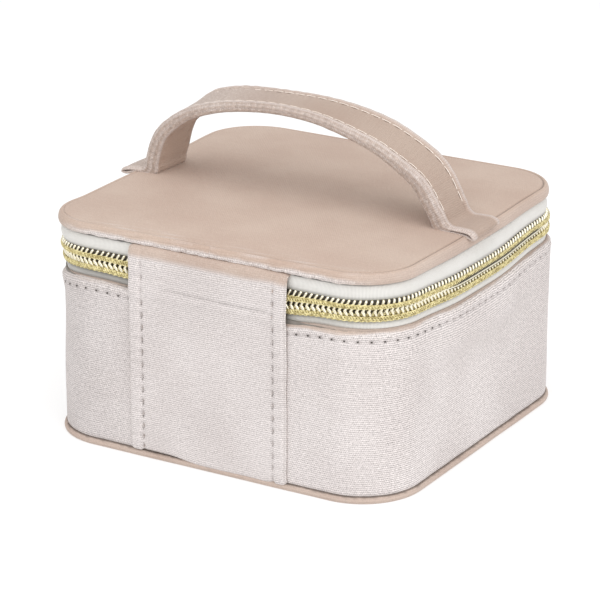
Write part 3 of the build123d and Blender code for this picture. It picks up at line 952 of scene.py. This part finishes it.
def hinge_velvet():
    """The velvet panel over the zip's ends, up the back of the box and in under the lid."""
    back = HALF_Y
    low = PANEL_LOW.z
    wall_top = WALL_HIGH.z
    lid_low = RIM_LOW.z
    under_lid = [(-2.6, lid_low + 0.1), (-1.0, lid_low), (0.0, lid_low - 0.5), (0.7, lid_low - 2.0)]
    over_zip = [(0.95, lid_low - 5.0), (1.05, wall_top + 3.0), (1.35, wall_top + 0.3)]
    on_wall = [(1.4, wall_top - 1.2), (1.05, wall_top - 4.0), (1.0, wall_top - 14.0)]
    foot = [(1.0, low + 14.0), (1.0, low + 2.0), (0.85, low - 0.2), (0.25, low - 0.9)]
    route = curve_through([(back + y, z) for y, z in under_lid + over_zip + on_wall + foot], 0.5)
    lengths = line_lengths(route)
    inward = inward_of(route)

    def crease(height, across):
        level = height - (wall_top + 1.2 + 0.3 * wander(across, 0, 24.0, 36))
        return math.exp(-((level / 0.4) ** 2)) * (1 - smooth(abs(across + 3), 15, 20))

    def place(k, across, depth):
        point = route[k] + inward[k] * (depth + 0.4 * crease(route[k][1], across) * (depth < 0.6))
        lift = 1.3 * smooth(across, 2, 14) + 0.7 * smooth(-across, 19, 24)
        return (across, point[0], point[1] + lift * (1 - smooth(point[1], low - 1, low + 9)))

    def look(length, across, depth, thick):
        if depth > 0.7 * thick:
            return 0.2, 0.0, 0.0
        edge = PANEL_HALF - abs(across)
        ragged = 0.5 * wander(across, 0, 11.0, 19)
        near_top = 1 - smooth(length + ragged, 4.2, 6.6)
        rib = smooth(PANEL_STITCH - edge, 0.2, 1.5)
        crest = math.exp(-(((length + ragged - 7.4) / 0.8) ** 2))
        gap = 0.6 + 0.4 * math.cos(TURN * length / STITCH_PITCH)
        seam = math.exp(-(((edge - PANEL_STITCH) / 0.33) ** 2)) * (1 - near_top)
        fuzz = 0.7 * crest + 0.6 * math.exp(-(((edge - 0.4) / 0.5) ** 2)) + 0.25 * near_top
        line = 0.16 * crease(np.interp(length, lengths, route[:, 1]), across)
        # Paleness is painted sheen: paler on the raised ribs and the fuzzy crest, rosy on the
        # up-facing band under the lid. The second value is painted shade along the stitch grooves and
        # the crease.
        pale_and_sheen = (1.0 + 0.15 * rib + 0.2 * crest) * (1 - 0.9 * near_top)
        return pale_and_sheen, 0.15 * seam * gap + line, fuzz

    thickness = np.full(len(route), 0.85)
    return ribbon("hinge_velvet", lengths, thickness, panel_section, place, VELVET, look)


STRAP_HALF = STRAP_HIGH.y
# How far the stitch lines are from the strap's edges.
STRAP_STITCH = 2.9
# Where the strap is thinner than this, its padding and stitch grooves fade out.
STRAP_THIN = 2.6
# How far the strap shifts in Y for each millimetre towards +X.
STRAP_SKEW = -0.03


def strap_edges():
    """The strap's outer face from end to end: X and Z over the lid of its +Y edge and of its -Y
    edge, and the strap's thickness there.

    From the turned-under end on the -X side, over the tab and the arch, to the other end.
    """
    return curve_through(
        [
            (-50.5, 0.0, -50.8, 0.0, 0.7),
            (-55.5, 0.0, -55.8, 0.0, 0.7),
            (-58.8, -0.4, -58.9, 0.0, 0.7),
            (-60.6, -1.0, -60.6, -0.1, 0.7),
            (-61.7, -0.6, -61.8, 0.4, 0.7),
            (-61.1, 0.6, -61.3, 1.4, 0.7),
            (-59.3, 1.4, -59.4, 2.0, 0.7),
            (-56.0, 1.5, -56.2, 1.9, 0.7),
            (-53.6, 1.6, -54.0, 1.8, 0.9),
            (-51.9, 2.4, -52.4, 2.4, 4.4),
            (-50.8, 4.2, -51.2, 4.1, 4.5),
            (-49.1, 6.6, -49.9, 6.6, 4.2),
            (-45.1, 12.5, -46.0, 13.5, 4.1),
            (-41.0, 16.0, -40.5, 18.9, 3.7),
            (-33.0, 20.2, -31.5, 23.7, 3.0),
            (-24.9, 23.6, -22.5, 26.8, 2.7),
            (-8.5, 27.8, -7.5, 29.3, 2.5),
            (8.2, 28.8, 9.0, 29.5, 2.5),
            (25.2, 26.9, 25.1, 28.7, 2.7),
            (37.6, 23.4, 36.0, 26.5, 3.1),
            (43.0, 20.7, 41.0, 23.6, 3.4),
            (46.2, 18.6, 44.4, 20.9, 3.7),
            (49.7, 15.5, 48.5, 17.4, 3.8),
            (52.1, 12.1, 51.0, 13.0, 4.1),
            (53.7, 8.2, 52.5, 8.4, 4.3),
            (54.8, 4.4, 53.8, 4.6, 4.4),
            (55.4, 2.1, 54.6, 2.4, 4.5),
            (57.0, 1.2, 56.4, 1.0, 1.0),
            (59.4, 1.0, 59.0, 0.8, 0.7),
            (62.4, 0.6, 61.8, 0.7, 0.7),
            (64.2, -0.2, 63.2, 0.2, 0.7),
            (63.9, -1.2, 63.0, -0.3, 0.7),
            (61.8, -1.1, 61.2, -0.2, 0.7),
            (58.5, -0.1, 58.0, 0.0, 0.7),
            (53.5, 0.0, 53.5, 0.0, 0.7),
        ],
        0.8,
    )


def strap_section(length, thickness):
    """Cross-section of the strap: a flat middle between stitch lines, with padded borders."""
    half = STRAP_HALF
    w = np.linspace(-half + 0.7, half - 0.7, 45)
    edge = half - np.abs(w)
    swell = min(1.0, thickness / STRAP_THIN)
    border = smooth(STRAP_STITCH - edge, 0.0, 1.0) * swell
    depth = dent(length, edge - STRAP_STITCH, 0.4 * swell, 0.4) - 0.25 - 0.3 * border
    depth = depth + 0.25 * (1 - smooth(edge, 0.5, 1.3)) * swell
    depth = depth + 0.07 * wander(w, length, 11.0, 15) + 0.06 * border * wander(w, length, 2.6, 20)
    turn = np.linspace(0, math.pi, 13)[1:-1]
    side_depth = 0.3 * swell + (thickness - 0.45 * swell) * (1 - np.cos(turn)) / 2
    middle = 0.52 * thickness + 0.12 * wander(length, 0, 6.0, 21)
    seam = np.exp(-(((side_depth - middle) / (0.12 * thickness)) ** 2)) * swell
    ruffle = 0.09 * wander(length, side_depth * 3, 2.2, 16)
    ruffle = (ruffle + 0.1 * wander(length, side_depth, 5.1, 22)) * swell
    side = half - 0.7 + 0.8 * np.sin(turn) ** 0.6 - 0.22 * seam + ruffle
    under = np.linspace(half - 0.7, -half + 0.7, 31)
    under_edge = half - np.abs(under)
    under_depth = thickness - dent(length, under_edge - STRAP_STITCH, 0.3 * swell, 0.5)
    across = np.concatenate([w, side, under, -side[::-1]])
    return across, np.concatenate([depth, side_depth, under_depth, side_depth[::-1]])


class Strap:
    """The strap's shape: where a place across and below its outer face is, row by row."""

    def __init__(self):
        edges = strap_edges()
        self.near = edges[:, :2]
        self.far = edges[:, 2:4]
        self.thickness = edges[:, 4]
        self.near_inward = inward_of(self.near)
        self.far_inward = inward_of(self.far)
        middle = (self.near + self.far) / 2
        self.lengths = line_lengths(middle)
        self.arch = middle[:, 1] > 3.4

    def place(self, row, across, depth):
        share = (across + STRAP_HALF) / (2 * STRAP_HALF)
        low = math.floor(row)
        high = min(low + 1, len(self.near) - 1)
        t = row - low
        spot = np.zeros(2)
        for k, part in ((low, 1 - t), (high, t)):
            near = self.near[k] + self.near_inward[k] * depth
            far = self.far[k] + self.far_inward[k] * depth
            spot = spot + part * (far + (near - far) * share)
        return (spot[0], across + 0.8 + STRAP_SKEW * spot[0], LID_TOP + spot[1])

    def row_at(self, length):
        return np.interp(length, self.lengths, np.arange(len(self.lengths)))


def strap(shape):
    """The padded strap handle with both ends turned under and sewn down on the lid."""
    total = shape.lengths[-1]

    def look(length, across, depth, thick):
        edge = STRAP_HALF - abs(across)
        if depth > 0.8 * thick and edge > 0.8:
            return 0.0, 0.0, 0.1
        border = (1 - smooth(edge, STRAP_STITCH - 1.0, STRAP_STITCH - 0.1))
        brushed = smooth(length, total - 95, total - 45)
        swell = smooth(thick, 1.2, 2.4)
        if edge > 0.8:
            # Outer face: paler at the brushed -X end and on the padded borders, with a pale line along
            # each edge, all painted sheen; the flat middle is darker than the borders.
            line = 0.3 * math.exp(-(((edge - 1.2) / 0.4) ** 2)) * border
            pale_and_sheen = 0.01 + 0.27 * brushed + 0.26 * border * (1 - brushed) + line
            return pale_and_sheen, 0.15 - 0.13 * border, 0.06 + 0.55 * brushed
        # Sides: pale lines along them are painted sheen, with dark flecks between.
        down = depth / thick
        lines = sum(
            share * math.exp(-(((down - level) / 0.13) ** 2))
            for level, share in ((0.04, 1.0), (0.46, 0.8), (0.96, 1.0))
        )
        lines = lines * (0.8 + 0.2 * wander(length, 5 * down, 7.0, 23))
        flecks = (1 - min(1.0, lines)) * (0.6 + 0.5 * wander(length, 9 * down, 2.4, 24))
        tab = 1 - swell
        pale_and_sheen = 0.1 + 0.62 * lines * (0.4 + 0.6 * swell) + 0.25 * tab
        return pale_and_sheen, 0.3 * flecks * swell, 0.3 + 0.3 * lines + 0.2 * tab

    return ribbon("strap", shape.lengths, shape.thickness, strap_section, shape.place, VELVET, look)


def strap_stitches(shape):
    """The long stitches in the two grooves of the strap's outer face."""
    rows = np.where(shape.arch)[0]
    first = shape.lengths[rows[0]]
    length = shape.lengths[rows[-1]] - first
    paths = []
    for side in (-1, 1):

        def place(run, lift):
            row = shape.row_at(first + run)
            buried = 0.3 * (side < 0) * smooth(run, length - 54, length - 38)
            return shape.place(row, side * (STRAP_HALF - STRAP_STITCH), buried - 0.1 - lift)

        paths += stitch_paths(place, length, 0.03)
    return tube("strap_stitches", paths, 0.14, 6, PALE_THREAD)


def panel_line(side, run, lift):
    """A point on one of the hinge panel's stitch lines, lifted off the cloth."""
    return side * (PANEL_HALF - PANEL_STITCH), HALF_Y + 1.0 + lift - 0.33, PANEL_LOW.z - 0.9 + run


def panel_stitches():
    """The stitches beside both folded edges of the hinge panel."""
    paths = []
    for side in (-1, 1):
        length = WALL_HIGH.z - PANEL_LOW.z + 6
        paths += stitch_paths(lambda run, lift: panel_line(side, run, lift), length)
    return tube("panel_stitches", paths, 0.15, 6, VELVET, 0.9)


# ---------------------------------------------------------------- interior
# The radius of the inside's corners.
ROOM_CORNER = 14.6


def soft_bar(name, along, edge, seed, uneven=0.2):
    """A stuffed bar in its node's place, rounded at its edges and ends and slightly uneven."""
    low, high = node_box(name)
    other = 1 - along
    half = (high[other] - low[other]) / 2
    tall = (high.z - low.z) / 2
    ring, outward = rounded_loop(half, tall, min(edge, half * 0.98), 72)
    count = int((high[along] - low[along]) / 1.2)
    places = np.linspace(low[along], high[along], count)
    points = np.empty((count, len(ring), 3))
    for k, place in enumerate(places):
        from_end = min(place - low[along], high[along] - place, edge)
        drawn_in = edge * (1 - math.sqrt(1 - (1 - from_end / edge) ** 2))
        pull = uneven * (wander(ring[:, 1], place, 16.0, seed) - 1)
        section = ring * (1 - drawn_in / np.array([half, tall]) * 0.6) + outward * pull[:, None]
        points[k, :, other] = (low[other] + high[other]) / 2 + section[:, 0]
        points[k, :, 2] = (low.z + high.z) / 2 + section[:, 1]
        points[k, :, along] = place
    if along == 0 and low.x < -ROOM_HALF.x + 1:
        beyond = np.maximum(0, -points[:, :, 1] - ROOM_HALF.y + ROOM_CORNER)
        beyond = np.minimum(beyond, ROOM_CORNER)
        start = ROOM_CORNER - np.sqrt(np.maximum(0, ROOM_CORNER**2 - beyond**2))
        share = (high.x - points[:, :, 0]) / (high.x - low.x)
        points[:, :, 0] += start * share**4
    cloth = cloth_place(places[:, None], np.arange(len(ring)))
    return sheet(name + "_suede", points, cloth, 0.0, SUEDE, caps=True)


# How far a padded sheet's edge is rounded off.
DISC_EDGE = 0.6


def soft_disc(name, inset, seen, hidden, relief):
    """A padded sheet to the case's outline. relief(x, y) lifts its seen face."""
    thick = abs(seen - hidden)
    way = math.copysign(1, seen - hidden)
    runs = np.arange(0, GIRTH, 1.6)
    turn = np.linspace(0, math.pi / 2, 5)
    insets = np.concatenate([[inset], inset + DISC_EDGE * (1 - np.cos(turn))])
    heights = np.concatenate([[hidden], hidden + way * thick * np.sin(turn)])
    rim = straight_round_the_case(runs, insets, heights)
    shrink = np.linspace(1, 0, 36)[1:]
    seen_face = rim[:, -1:] * np.array([1, 1, 0]) * shrink[None, :, None] + np.array([0, 0, seen])
    centre = np.zeros((len(runs), 1, 3)) + np.array([0, 0, hidden])
    points = np.concatenate([centre, rim, seen_face], axis=1)
    on_face = np.arange(points.shape[1]) > len(insets)
    points[:, :, 2] += way * on_face * relief(points[:, :, 0], points[:, :, 1])
    piece = sheet(name, points, points * np.array([1, 1, 0]), 0.0, SUEDE, True, False)
    weld_centre(piece)
    return piece


def floor_relief(x, y):
    """The floor pad swells between the walls and the dividers."""
    swell = 1.0
    for node in ("divider_long", "divider_front", "divider_back"):
        low, high = node_box(node)
        away = np.maximum(np.maximum(low.x - x, x - high.x), np.maximum(low.y - y, y - high.y))
        swell = swell * smooth(away, -0.5, 6.0)
    walls = smooth(ROOM_HALF.x - np.abs(x), 0, 6) * smooth(ROOM_HALF.y - np.abs(y), 0, 6)
    return 0.9 * swell * walls + 0.12 * wander(x, y, 24.0, 27)


def lid_relief(x, y):
    """The lid's lining swells round the mirror's frame."""
    low, high = node_box("mirror_frame")
    away = np.maximum(np.abs(x) - high.x, np.abs(y) - high.y)
    edge = np.minimum(HALF_X - 4 - np.abs(x), HALF_Y - 4 - np.abs(y))
    return 0.45 * smooth(away, 0.0, 3.0) * smooth(edge, 0.0, 4.0) + 0.06 * wander(x, y, 18.0, 28)


def lining_wall():
    """The lining round the inside, with its top edge turned out over the board to the tape."""
    low, top = (corner.z for corner in node_box("wall_lining"))
    board_side = [(3.5, low), (3.5, top - 4.0), (3.4, top - 0.9), (2.9, top - 0.35)]
    lip = [(2.75, top - 0.05), (3.2, top + 0.22), (3.9, top + 0.15), (4.3, top - 0.5)]
    room_side = [(4.35, top - 3.0), (4.35, (low + top) / 2), (4.3, low + 1.5), (4.1, low)]
    profile = curve_through(board_side + lip + room_side, 1.0)
    runs = np.arange(0, GIRTH, 1.5)
    s = runs[:, None]
    height = profile[None, :, 1] + 0 * s
    uneven = 0.12 * smooth(profile[None, :, 0], 3.7, 4.2) * wander(s, height, 26.0, 29)
    inset = profile[None, :, 0] + uneven
    points = straight_round_the_case(runs, inset, height)
    follows = smooth(height, top - 0.9, top - 0.2) * (1 - smooth(inset, 3.2, 4.0))
    points[:, :, :2] += (settle(points) - points)[:, :, :2] * follows[:, :, None]
    cloth = cloth_place(s, line_lengths(profile)[None, :])
    return sheet("wall_lining_suede", points, cloth, 0.0, SUEDE, close_rows=True)


def hinge_inside():
    """The lining over the hinge, from the wall's lining up to the lid's."""
    lid, wall = LID_LINING.z, WALL_HIGH.z
    above = [(4.4, lid - 0.2), (3.3, lid - 0.9), (2.9, lid - 3.0)]
    below = [(3.0, wall + 4.0), (3.3, wall), (4.0, wall - 1.6)]
    route = curve_through([(HALF_Y - inset, z) for inset, z in above + below], 0.8)
    inward = inward_of(route)

    def section(length, thickness):
        w = np.linspace(-PANEL_HALF, PANEL_HALF, 41)
        wrinkle = 0.12 * wander(w, length, 14.0, 30)
        return np.concatenate([w, w[::-1]]), np.concatenate([wrinkle, wrinkle * 0 + thickness])

    def place(k, across, depth):
        point = route[k] + inward[k] * depth
        return (across, point[0], point[1])

    def look(*_):
        return 0, 0, 0

    lengths = line_lengths(route)
    thickness = np.full(len(route), 0.7)
    return ribbon("hinge_lining_suede", lengths, thickness, section, place, SUEDE, look)


def mirror_surround():
    """The stuffed frame that holds the mirror in the lid."""
    low, high = node_box("mirror_frame")
    glass = node_box("lid_mirror")[1]
    width = high.x - glass.x
    tall = high.z - low.z
    path, outward = rounded_loop(high.x - width / 2, high.y - width / 2, 8.5, 260)
    ring, _ = rounded_loop(width / 2, tall / 2, 0.95, 28)
    swell = 1 + 0.05 * wander(path[:, 0], path[:, 1], 15.0, 31)
    points = np.empty((len(path), len(ring), 3))
    points[:, :, :2] = path[:, None] + outward[:, None] * ring[None, :, :1]
    points[:, :, 2] = (low.z + high.z) / 2 + ring[None, :, 1] * swell[:, None]
    cloth = cloth_place(np.arange(len(path))[:, None], np.arange(len(ring)))
    return sheet("mirror_surround_suede", points, cloth, 0.0, SUEDE, close_rows=True)


# ---------------------------------------------------------------- build and place the pieces
def on(piece, body, slot, *nodes):
    """Rides the piece on a body, in place of its CAD nodes. The slot argument is not used."""
    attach(piece, body)
    if nodes:
        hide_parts(*nodes)
    return piece


def over_hinge(piece, nodes, start, end):
    """Hides the nodes and bakes the piece's transform into its mesh; start and end, each a (y, z), are
    made into points but not used further.
    """
    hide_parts(*nodes)
    start, end = ((0, y * MM, z * MM) for y, z in (start, end))
    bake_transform(piece)
    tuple(start)
    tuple(end)


on(wall_velvet(), "base", "velvet", "wall_cover")
on(wall_stitches(), "base", "velvet")
on(hole_shadows("wall_stitch_hole_shadows", [wall_hole], GIRTH, 0.3, 0.24), "base", "velvet")
on(bottom_edge(), "base", "velvet", "bottom_trim")
on(lower_tape(), "base", "tape", "lower_tape")
on(upper_tape(), "lid", "tape", "upper_tape")
COIL_INSET = HALF_Y - LOWER_COIL_HIGH.y
MIDDLE = (LOWER_COIL_HIGH.z + UPPER_COIL_LOW.z) / 2
low, high = LOWER_COIL_LOW.z - COIL_DROP, MIDDLE + COIL_OVERLAP - COIL_DROP
on(coil("lower_zip_coil", low, high, COIL_INSET, -1), "base", "coil", "lower_coil")
low, high = MIDDLE - COIL_OVERLAP - COIL_DROP, UPPER_COIL_HIGH.z + 0.1
on(coil("upper_zip_coil", low, high, COIL_INSET, 1), "lid", "coil", "upper_coil")
# Sewing thread: how far over the middle of the zip it is, and its outer cord beyond that.
for name, height, outer, body in (
    ("lower_coil_threads", -2.0, -0.82, "base"),
    ("upper_coil_threads", 1.15, 0.62, "lid"),
):
    on(coil_threads(name, MIDDLE + height, COIL_INSET, outer), body, "coil")
on(core_shade("lower_coil_core_shade", LOWER_COIL_LOW.z + 0.2, MIDDLE - 0.3, 2.0), "base", "coil")
on(core_shade("upper_coil_core_shade", MIDDLE - 0.2, UPPER_COIL_HIGH.z - 0.1, 1.6), "lid", "coil")
# The seam at the sides: how far over the middle, how far in front of the coils, and how thick. The gap
# lines above and below the heads are near-black: painted shade.
for name, height, ahead, radius, material, body in (
    ("zip_heads", 0.05, 0.16, 0.32, COIL, "base"),
    ("zip_gap_shade_above", 0.72, 0.06, 0.38, CORE_SHADE, "lid"),
    ("zip_gap_shade_below", -0.32, 0.06, 0.22, CORE_SHADE, "base"),
):
    on(seam_line(name, MIDDLE + height, COIL_INSET - ahead, radius, material), body, "coil")
lid_piece = on(lid_velvet(), "lid", "velvet", "lid_rim", "lid_cover")
start, end = (HALF_Y + 1, RIM_LOW.z - 5), (HALF_Y - 0.5, RIM_LOW.z - 0.2)
over_hinge(hinge_velvet(), ("hinge_panel", "hinge_flap"), start, end)
on(panel_stitches(), "base", "velvet")
panel_lines = [lambda run, lift, side=side: panel_line(side, run, lift) for side in (-1, 1)]
on(hole_shadows("panel_stitch_hole_shadows", panel_lines, WALL_HIGH.z, 0.55, 0.2), "base", "velvet")
strap_shape = Strap()
strap_piece = strap(strap_shape)
on(strap_piece, "lid", "velvet", "strap_outer", "strap_inner", "strap_end_left", "strap_end_right")
on(strap_stitches(strap_shape), "lid", "velvet")

on(lining_wall(), "base", "lining", "wall_lining")
start, end = (HALF_Y - 3, WALL_HIGH.z + 3), (HALF_Y - 3, LID_LINING.z - 0.6)
over_hinge(hinge_inside(), ("hinge_lining",), start, end)
low, high = node_box("floor_pad")
floor_piece = soft_disc("floor_pad_suede", 4.3, high.z, low.z, floor_relief)
low, high = node_box("lid_lining")
ceiling_piece = soft_disc("lid_lining_suede", 3.7, low.z, high.z, lid_relief)
low, high = node_box("bottom_cover")
sole_piece = soft_disc("bottom_cloth", 2.9, low.z, high.z, lambda x, y: 0 * x)
on(sole_piece, "base", "velvet", "bottom_cover")
pads = [
    on(floor_piece, "base", "lining", "floor_pad"),
    on(ceiling_piece, "lid", "lining", "lid_lining"),
    on(mirror_surround(), "lid", "lining", "mirror_frame"),
]
for k in range(1, 6):
    pads.append(on(soft_bar(f"ring_roll_{k}", 0, 5.7, 31 + k), "base", "lining", f"ring_roll_{k}"))
for node, along in (("divider_long", 0), ("divider_front", 1), ("divider_back", 1)):
    pads.append(on(soft_bar(node, along, 1.1, 40 + along, 0.08), "base", "lining", node))


# ---------------------------------------------------------------- floor, light and camera
def floor():
    """A plain pale floor."""
    half = 3.0
    mesh = bpy.data.meshes.new("floor")
    corners = [(-half, -half, 0), (half, -half, 0), (half, half, 0), (-half, half, 0)]
    mesh.from_pydata(corners, [], [(0, 1, 2, 3)])
    s = Shader("floor")
    cloud = s.noise(s.object_place(), 3.0, 2.0)
    s.set(Base_Color=s.mix(cloud, (0.54, 0.54, 0.54), (0.56, 0.56, 0.56)), Roughness=0.9)
    s.set(Emission_Color=(1.0, 1.0, 1.0), Emission_Strength=0.45)
    mesh.materials.append(s.material)
    piece = bpy.data.objects.new("floor", mesh)
    bpy.context.scene.collection.objects.link(piece)


def area_light(name, place, target, size, power):
    """A soft square light at a place, facing a target."""
    light = bpy.data.lights.new(name, "AREA")
    light.size = size
    light.energy = power
    lamp = bpy.data.objects.new(name, light)
    lamp.location = place
    lamp.rotation_euler = (Vector(target) - Vector(place)).to_track_quat("-Z", "Y").to_euler()
    bpy.context.scene.collection.objects.link(lamp)


CAMERA_AZIMUTH = 210.71
CAMERA_ELEVATION = 19.54
CAMERA_DISTANCE = 0.9046
CAMERA_LENS = 177.3
# How far left of and below the target the camera aims.
AIM_LEFT = 0.00295
AIM_DOWN = 0.00403


def camera():
    """The camera behind the case, a little above it, with a long lens."""
    azimuth = math.radians(CAMERA_AZIMUTH)
    elevation = math.radians(CAMERA_ELEVATION)
    level = math.cos(elevation)
    back = (math.sin(azimuth) * level, -math.cos(azimuth) * level, math.sin(elevation))
    back = Vector(back)
    right = (-back).cross(Vector((0, 0, 1))).normalized()
    up = right.cross(-back)
    target = Vector((0, 0, 0.040))
    place = target + back * CAMERA_DISTANCE
    aim = target - right * AIM_LEFT - up * AIM_DOWN
    data = bpy.data.cameras.new("camera")
    data.sensor_width = 36.0
    data.lens = CAMERA_LENS
    data.clip_start = 0.01
    data.clip_end = 20.0
    lens = bpy.data.objects.new("camera", data)
    lens.location = place
    lens.rotation_euler = (aim - place).to_track_quat("-Z", "Y").to_euler()
    bpy.context.scene.collection.objects.link(lens)
    bpy.context.scene.camera = lens


def light():
    """Even white surroundings, with a large soft light overhead."""
    scene = bpy.context.scene
    world = bpy.data.worlds.new("world")
    world.use_nodes = True
    background = world.node_tree.nodes["Background"]
    background.inputs["Color"].default_value = (1.0, 1.0, 1.0, 1.0)
    background.inputs["Strength"].default_value = 0.76
    scene.world = world
    scene.view_settings.view_transform = "Standard"
    area_light("overhead", (-0.2, 0.42, 0.87), (0, 0, 0.04), 1.4, 7.9)
    area_light("camera_right", (-1.3, 0.35, 0.6), (0, 0, 0.04), 0.9, 3.2)


floor()
light()
camera()
